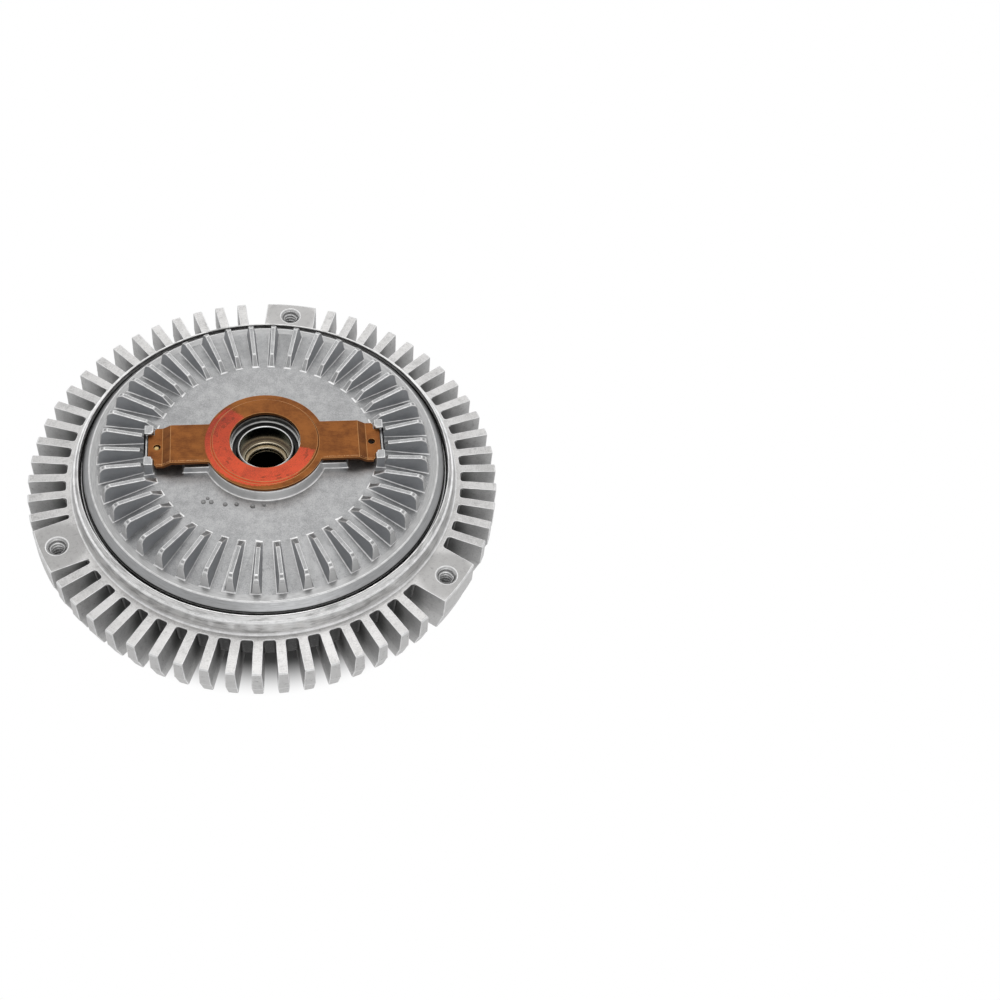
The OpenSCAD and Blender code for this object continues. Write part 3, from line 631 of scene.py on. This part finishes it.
def lugThread(name):
    deselectAll()
    root, crest, pitch = (threadShape[key] * mm for key in ("root", "crest", "pitch"))
    bpy.ops.mesh.primitive_plane_add(size=pitch, rotation=(math.pi / 2, 0, 0))
    thread = bpy.context.object
    thread.name = thread.data.name = name
    bpy.ops.object.transform_apply(location=True, rotation=True, scale=True)
    for vertex in thread.data.vertices:  # a narrow crest and a wide root
        outer = vertex.co.x > 0
        vertex.co.x = root if outer else crest
        vertex.co.z *= threadShape["rootShare" if outer else "crestShare"]
        vertex.co.z += threadShape["bottom"] * mm
    bpy.ops.object.mode_set(mode="EDIT")
    bpy.ops.mesh.select_all(action="SELECT")
    bpy.ops.mesh.delete(type="ONLY_FACE")
    bpy.ops.object.mode_set(mode="OBJECT")
    screw = thread.modifiers.new("helix", "SCREW")
    screw.angle = 2 * math.pi * threadShape["turns"]
    screw.screw_offset = pitch * threadShape["turns"]
    screw.steps = screw.render_steps = threadShape["steps"] * threadShape["turns"]
    bpy.ops.object.modifier_apply(modifier=screw.name)
    bpy.ops.object.mode_set(mode="EDIT")
    bpy.ops.mesh.select_all(action="SELECT")
    bpy.ops.mesh.fill_holes(sides=4)  # the two ends
    bpy.ops.mesh.select_all(action="SELECT")
    bpy.ops.mesh.normals_make_consistent(inside=False)
    bpy.ops.object.mode_set(mode="OBJECT")
    bpy.ops.object.shade_smooth_by_angle(angle=math.radians(threadShape["smooth"]))
    return thread


def threadSkin():
    finish = Finish("threadSkin", 0.3)
    grain = finish.place.noise(2.0, 3.0, 0.6)
    away = fromLugHole(finish) + (grain - 0.5) * 0.2
    # dark thread roots are painted shade and light crests are painted highlight
    cut = away.step(threadShape["root"], threadShape["crest"])
    finish.set(color=cut.mix(threadShape["dark"], threadShape["bright"]))
    finish.set(rough=0.26 + (grain - 0.5) * 0.2)
    finish.bump(grain, 0.02, 0.4)
    return finish.material


threadSteel = threadSkin()
for number, turn in enumerate(castSettings["lugTurns"]):
    thread = lugThread(f"lugThread{number}")
    thread.data.transform(Matrix.Translation(Vector((*lugSpot(turn), 0)) * mm))
    thread.data.materials.append(threadSteel)
    settle(thread, "housing", "cast_housing")
print("threads")

# small round casting marks on the flat of the cover
markShape = {
    "level": 44.5, "depth": 0.5, "sides": 28, "inset": 0.28, "raised": -0.16,
    "round": 0.07, "segments": 2,
    "spots": (
        (-24.6, -24.6, 0.95), (-22.9, -23.0, 0.7), (-21.6, -24.8, 0.95),
        (-16.2, -26.2, 0.9), (-11.8, -26.4, 0.9), (-5.6, -27.6, 1.0), (-1.2, -27.2, 0.7),
    ),
}


def castMark(name, left, down, size):
    mark = insetDisc(name, size, (left, down, markShape["level"]), markShape)
    bevel = mark.modifiers.new("worn", "BEVEL")
    bevel.width = markShape["round"] * mm
    bevel.segments = markShape["segments"]
    bpy.ops.object.modifier_apply(modifier=bevel.name)
    bpy.ops.object.shade_smooth_by_angle(angle=math.radians(copySettings["smooth"]))
    return mark


markCast = castEdge("markCast", 0.24, 0.42)
for number, (left, down, size) in enumerate(markShape["spots"]):
    mark = castMark(f"castMark{number}", left, down, size)
    mark.data.materials.append(markCast)
    settle(mark, "housing", "cast_cover")
print("casting marks")

# turned and moulded pieces that show: merged copies with softened edges
ringSteel = turnedSteel("ringSteel", (0.66, 0.66, 0.67), 0.2)
roundPieces = (
    ("input_shaft", "inputShaft", "shaft", "shaft_steel", 0.12, shaftSkin()),
    ("seal_case", "sealCase", "housing", "case_steel", 0.1,
     turnedSteel("caseSteel", (0.62, 0.62, 0.61), 0.3)),
    ("shaft_seal", "shaftSeal", "housing", "black_rubber", 0.15,
     mouldedRubber("blackRubber", (0.022, 0.022, 0.023), 0.5)),
    ("bearing_rear_seal", "bearingRearSeal", "housing", "blue_seal", 0.2,
     mouldedRubber("blueRubber", (0.008, 0.016, 0.30), 0.42)),
    ("bearing_inner_ring", "bearingInnerRing", "shaft", "bearing_steel", 0.15,
     ringSteel),
    ("bearing_outer_ring", "bearingOuterRing", "housing", "bearing_steel", 0.15,
     ringSteel),
)
roundShape = {"segments": 2, "sharp": 28.0, "edgeSlot": 0}
for nodeName, pieceName, body, slot, edge, material in roundPieces:
    piece = copyNode(nodeName, pieceName)
    piece.data.materials.append(material)
    roundEdges(piece, {"edge": edge, **roundShape})
    settle(piece, body, slot, nodeName)
print("round pieces")

# pieces inside keep their solids
innerFinishes = {
    "cover_o_ring": bpy.data.materials["blackRubber"],
    "control_pin_o_ring": bpy.data.materials["blackRubber"],
    "bearing_front_seal": bpy.data.materials["blueRubber"],
    "rotor": turnedSteel("rotorTurned", (0.7, 0.7, 0.71), 0.34),
    "rotor_circlip": turnedSteel("springSteel", (0.14, 0.14, 0.15), 0.38),
    "bearing_balls": turnedSteel("ballPolish", (0.8, 0.8, 0.81), 0.08, 1.0, 0.002),
    "bearing_cage": turnedSteel("cageSteel", (0.52, 0.5, 0.46), 0.34),
    "separator_plate": turnedSteel("plateSteel", (0.56, 0.56, 0.57), 0.33),
    "plate_screws": turnedSteel("screwZinc", (0.55, 0.55, 0.54), 0.3),
    "valve_rivet": turnedSteel("rivetSteel", (0.5, 0.5, 0.5), 0.32),
    "valve_lever": turnedSteel("leverSteel", (0.6, 0.57, 0.49), 0.3),
    "control_pin": turnedSteel("pinSteel", (0.62, 0.62, 0.63), 0.2),
    "pump_wiper": mouldedRubber("wiperPlastic", (0.5, 0.4, 0.26), 0.45),
}
for nodeName, material in innerFinishes.items():
    mesh = nodes[nodeName].data
    mesh.materials.clear()
    mesh.materials.append(material)
print("inner pieces")

# floor, light and camera
stageSettings = {
    "floor": -0.2, "floorSize": 8000.0, "floorColor": gray(0.25), "floorDull": gray(0.72),
    "floorRough": 0.9, "shadeReach": (88.5, 71.0),
    "low": gray(0.34), "high": gray(0.60), "skyReach": (-0.1, 0.95),
    "lights": (  # name, place and aim in metres, width, depth, watts
        ("topBox", (0.02, 0.45, 1.15), (0, 0, 0.03), 0.35, 0.3, 0.9),
        ("backBox", (0.0, 0.95, 0.9), (0, 0, 0.03), 0.6, 0.3, 0.7),
        ("frontBox", (0.2, -1.0, 0.6), (0, 0, 0.03), 0.9, 0.5, 1.6),
    ),
    "cameraPlace": (7.578, -361.762, 508.614),
    "cameraTurn": (36.1308, -5.6442, -6.6104), "lens": 51.761, "sensor": 36.0,
}


# 1 where the background shows: to the camera, and in metal and glass
def shownTo(start):
    rays = ("Is Camera Ray", "Is Glossy Ray", "Is Transmission Ray")
    first, second, third = (start.add("LightPath", out=ray) for ray in rays)
    return (first + second + third).cap()


deselectAll()
bpy.ops.mesh.primitive_plane_add(
    size=stageSettings["floorSize"] * mm, location=(0, 0, stageSettings["floor"] * mm)
)
floor = bpy.context.object
floor.name = "floor"
floorFinish = Finish("paleFloor", 0.0, 0.0)
seen = shownTo(floorFinish.x)
floorFinish.set(color=seen.mix(stageSettings["floorDull"], stageSettings["floorColor"]))
floorFinish.set(rough=stageSettings["floorRough"])
shade = floorFinish.radius.step(*stageSettings["shadeReach"])  # painted shadow: the floor takes floorColor, a dark grey, under the part
glow = seen.add("Emission", {}, {"Color": (1, 1, 1, 1), "Strength": 1.0})
blend = seen.add("MixShader", {}, {0: seen * (1 - shade), 2: glow})
floorTree = floorFinish.tree
floorTree.links.new(floorFinish.shader.outputs[0], blend.socket.node.inputs[1])
floorTree.links.new(blend.socket, floorTree.nodes["Material Output"].inputs["Surface"])
floor.data.materials.append(floorFinish.material)

world = bpy.data.worlds.new("softWorld")
world.use_nodes = True
sky = Wire(world.node_tree)
height = sky.add("SeparateXYZ", {}, {"Vector": sky.add("TexCoord", out="Generated")}, "Z")
level = height.step(*stageSettings["skyReach"]).mix(stageSettings["low"], stageSettings["high"])
white = shownTo(sky).mix(level, gray(1.0))
world.node_tree.links.new(white.socket, world.node_tree.nodes["Background"].inputs["Color"])
scene.world = world
for name, place, aim, wide, tall, power in stageSettings["lights"]:
    lamp = bpy.data.lights.new(name, "AREA")
    lamp.shape = "RECTANGLE"
    lamp.size, lamp.size_y, lamp.energy = wide, tall, power
    holder = bpy.data.objects.new(name, lamp)
    scene.collection.objects.link(holder)
    holder.location = place
    holder.rotation_euler = (Vector(aim) - Vector(place)).to_track_quat("-Z", "Y").to_euler()
camera = bpy.data.cameras.new("photoCamera")
camera.lens = stageSettings["lens"]
camera.sensor_width = stageSettings["sensor"]
cameraHolder = bpy.data.objects.new("photoCamera", camera)
scene.collection.objects.link(cameraHolder)
cameraHolder.location = Vector(stageSettings["cameraPlace"]) * mm
cameraHolder.rotation_euler = [math.radians(turn) for turn in stageSettings["cameraTurn"]]
scene.camera = cameraHolder
print("stage set")
